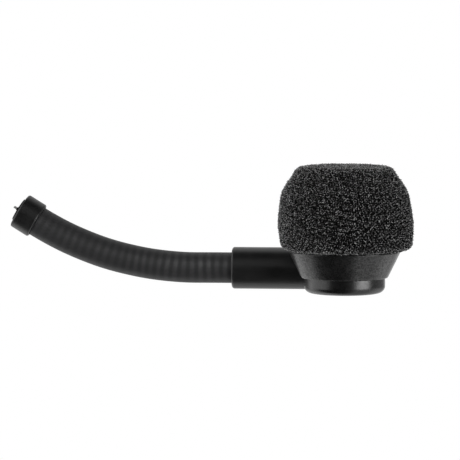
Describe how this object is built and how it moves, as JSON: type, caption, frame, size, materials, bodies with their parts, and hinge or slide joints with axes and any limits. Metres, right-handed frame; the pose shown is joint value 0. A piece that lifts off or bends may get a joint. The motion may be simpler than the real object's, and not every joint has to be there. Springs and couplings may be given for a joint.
{
  "type": "headset microphone",
  "caption": "Small boom microphone head for a headset: foam windscreen over a conical capsule housing, carried by a sleeve on a bendable gooseneck.",
  "frame": {"origin": "middle of the flat end face of the rear cap", "axes": "+Z along the head axis toward the windscreen; the boom sleeve runs along X behind the head (+Y) and the gooseneck leaves toward -X, curving up"},
  "size_m": [0.0623, 0.023, 0.0197],
  "materials": {
    "ferrule": "black anodised",
    "grommet": "moulded",
    "lead_insulation": "extruded",
    "tinned": "tinned copper",
    "jacket": "shrunk tubing",
    "coil_steel": "drawn wire",
    "housing": "satin moulded",
    "cap": "satin moulded",
    "mesh": "woven",
    "seal": "moulded",
    "grille": "powder coat",
    "cloth": "woven",
    "boot": "moulded",
    "can": "drawn",
    "contact_brass": "stamped",
    "film": "metallised film",
    "spacer": "film",
    "holder": "moulded",
    "board": "solder mask",
    "transistor": "moulded",
    "sleeve": "satin",
    "plug": "moulded",
    "screw_steel": "black zinc",
    "bushing": "anodised",
    "foam": "open-cell reticulated foam",
    "ring_plastic": "moulded"
  },
  "bodies": {
    "boom_ferrule": {"rear_ferrule": "ferrule", "lead_grommet": "grommet", "output_leads": "lead_insulation", "tinned_tips": "tinned", "neck_jacket_rear": "jacket", "neck_coil_rear": "coil_steel", "neck_leads_rear": "lead_insulation"},
    "neck_link_1": {"neck_jacket_1": "jacket", "neck_coil_1": "coil_steel", "neck_leads_1": "lead_insulation"},
    "neck_link_2": {"neck_jacket_2": "jacket", "neck_coil_2": "coil_steel", "neck_leads_2": "lead_insulation"},
    "neck_link_3": {"neck_jacket_3": "jacket", "neck_coil_3": "coil_steel", "neck_leads_3": "lead_insulation"},
    "neck_link_4": {"neck_jacket_4": "jacket", "neck_coil_4": "coil_steel", "neck_leads_4": "lead_insulation"},
    "neck_link_5": {"neck_jacket_5": "jacket", "neck_coil_5": "coil_steel", "neck_leads_5": "lead_insulation"},
    "neck_link_6": {"neck_jacket_6": "jacket", "neck_coil_6": "coil_steel", "neck_leads_6": "lead_insulation"},
    "neck_link_7": {"neck_jacket_7": "jacket", "neck_coil_7": "coil_steel", "neck_leads_7": "lead_insulation"},
    "mic_head": {"head_housing": "housing", "rear_cap": "cap", "rear_port_mesh": "mesh", "cap_seal_ring": "seal", "front_grille": "grille", "damping_cloth": "cloth", "capsule_boot": "boot", "capsule_can": "can", "tension_ring": "contact_brass", "diaphragm": "film", "spacer_ring": "spacer", "backplate": "contact_brass", "backplate_holder": "holder", "capsule_board": "board", "transistor": "transistor", "boom_sleeve": "sleeve", "sleeve_end_plug": "plug", "saddle_screws": "screw_steel", "neck_bushing": "bushing", "head_leads": "lead_insulation", "neck_jacket_front": "jacket", "neck_coil_front": "coil_steel", "neck_leads_front": "lead_insulation"},
    "windscreen": {"windscreen_foam": "foam", "windscreen_ring": "ring_plastic"}
  },
  "joints": [
    {"name": "neck_bend_1", "type": "hinge", "parent": "boom_ferrule", "child": "neck_link_1", "pos_m": [-0.04514, 0.0094, 0.00813], "axis": [0, 1, 0], "range_deg": [-11, 11]},
    {"name": "neck_swing_1", "type": "hinge", "parent": "neck_link_1", "child": "neck_link_2", "pos_m": [-0.04174, 0.0094, 0.00651], "axis": [0.393, 0, 0.9195], "range_deg": [-11, 11]},
    {"name": "neck_bend_2", "type": "hinge", "parent": "neck_link_2", "child": "neck_link_3", "pos_m": [-0.03821, 0.0094, 0.00517], "axis": [0, 1, 0], "range_deg": [-11, 11]},
    {"name": "neck_swing_2", "type": "hinge", "parent": "neck_link_3", "child": "neck_link_4", "pos_m": [-0.03458, 0.0094, 0.00411], "axis": [0.24, 0, 0.9708], "range_deg": [-11, 11]},
    {"name": "neck_bend_3", "type": "hinge", "parent": "neck_link_4", "child": "neck_link_5", "pos_m": [-0.03089, 0.0094, 0.00336], "axis": [0, 1, 0], "range_deg": [-11, 11]},
    {"name": "neck_swing_3", "type": "hinge", "parent": "neck_link_5", "child": "neck_link_6", "pos_m": [-0.02714, 0.0094, 0.0029], "axis": [0.0807, 0, 0.9967], "range_deg": [-11, 11]},
    {"name": "neck_bend_4", "type": "hinge", "parent": "neck_link_6", "child": "neck_link_7", "pos_m": [-0.02337, 0.0094, 0.00275], "axis": [0, 1, 0], "range_deg": [-11, 11]},
    {"name": "neck_swing_4", "type": "hinge", "parent": "neck_link_7", "child": "mic_head", "pos_m": [-0.0196, 0.0094, 0.00275], "axis": [0, 0, 1], "range_deg": [-11, 11]},
    {"name": "windscreen_pull", "type": "slide", "parent": "mic_head", "child": "windscreen", "axis": [0, 0, 1], "range_m": [0, 0.016]}
  ]
}
